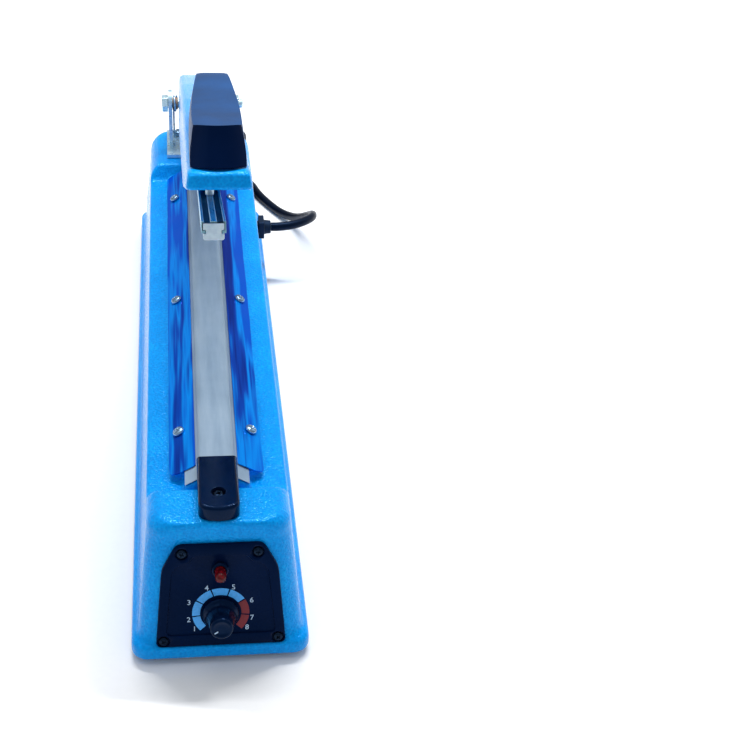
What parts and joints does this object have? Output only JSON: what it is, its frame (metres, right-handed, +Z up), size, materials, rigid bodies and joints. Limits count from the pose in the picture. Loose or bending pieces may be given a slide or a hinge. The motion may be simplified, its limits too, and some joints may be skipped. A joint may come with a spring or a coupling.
{
  "type": "impulse heat sealer",
  "caption": "Bench-top hand impulse heat sealer for plastic bags: long painted base with timer dial, cloth-covered sealing platform and a sprung hinged press arm.",
  "frame": {"origin": "on the table, under the middle of the machine's bounding box with the arm raised and the cord left out", "axes": "+X to the operator's right, +Y away from the operator, along the sealing platform to the hinge, +Z up"},
  "size_m": [0.1219, 0.5617, 0.2383],
  "materials": {
    "blue_paint": "gloss",
    "black_plastic": "satin",
    "guard_film": "polished",
    "ptfe_cloth": "matte",
    "zinc": "satin",
    "aluminium": "satin",
    "silicone": "satin",
    "red_lens": "gloss",
    "foot_rubber": "matte",
    "cord_pvc": "satin",
    "nichrome": "satin",
    "circuit_board": "matte",
    "switch_plastic": "matte",
    "laminations": "matte",
    "winding": "satin"
  },
  "bodies": {
    "base": {"base_shell": "blue_paint", "control_panel": "black_plastic", "panel_screw_1": "black_plastic", "panel_screw_2": "black_plastic", "panel_screw_3": "black_plastic", "panel_screw_4": "black_plastic", "front_end_cover": "black_plastic", "front_cover_screw": "black_plastic", "rear_end_cover": "black_plastic", "rear_cover_screw": "black_plastic", "cable_gland": "black_plastic", "mains_plug": "black_plastic", "guard_left": "guard_film", "guard_right": "guard_film", "ptfe_cloth": "ptfe_cloth", "insulation_strip": "ptfe_cloth", "bottom_plate": "zinc", "plate_screw_1": "zinc", "plate_screw_2": "zinc", "guard_screw_1": "zinc", "guard_screw_2": "zinc", "guard_screw_3": "zinc", "guard_screw_4": "zinc", "guard_screw_5": "zinc", "guard_screw_6": "zinc", "hinge_bracket": "zinc", "bracket_screw_1": "zinc", "bracket_screw_2": "zinc", "hinge_bolt": "zinc", "hinge_nut": "zinc", "hinge_washer": "zinc", "return_spring": "zinc", "platform_rail": "aluminium", "pilot_lamp": "red_lens", "foot_1": "foot_rubber", "foot_2": "foot_rubber", "foot_3": "foot_rubber", "foot_4": "foot_rubber", "mains_cord": "cord_pvc", "cord_coil": "cord_pvc", "heating_element": "nichrome", "timer_board": "circuit_board", "micro_switch": "switch_plastic", "potentiometer_body": "switch_plastic", "transformer_core": "laminations", "transformer_coil": "winding"},
    "arm": {"arm_casting": "blue_paint", "handle_cap": "black_plastic", "handle_screw": "zinc", "press_bar": "aluminium", "silicone_strip": "silicone", "bar_bolt_1": "zinc", "bar_bolt_2": "zinc"},
    "knob": {"timer_knob": "black_plastic", "potentiometer_shaft": "aluminium"},
    "plunger": {"switch_plunger": "zinc"}
  },
  "joints": [
    {"name": "arm_hinge", "type": "hinge", "parent": "base", "child": "arm", "pos_m": [0, 0.1921, 0.1085], "axis": [1, 0, 0], "range_deg": [0, 18.4], "stiffness_Nm_per_rad": 3, "springref_deg": -51.57},
    {"name": "timer_dial", "type": "hinge", "parent": "base", "child": "knob", "pos_m": [0, -0.21326, 0.0274], "axis": [0, 0.9829, -0.184], "range_deg": [0, 270]},
    {"name": "switch_press", "type": "slide", "parent": "base", "child": "plunger", "axis": [0, 0, 1], "range_m": [-0.0025, 0]}
  ],
  "couplings": [
    {"joint": "switch_press", "follows": "arm_hinge", "m_per_rad": -0.00778}
  ]
}
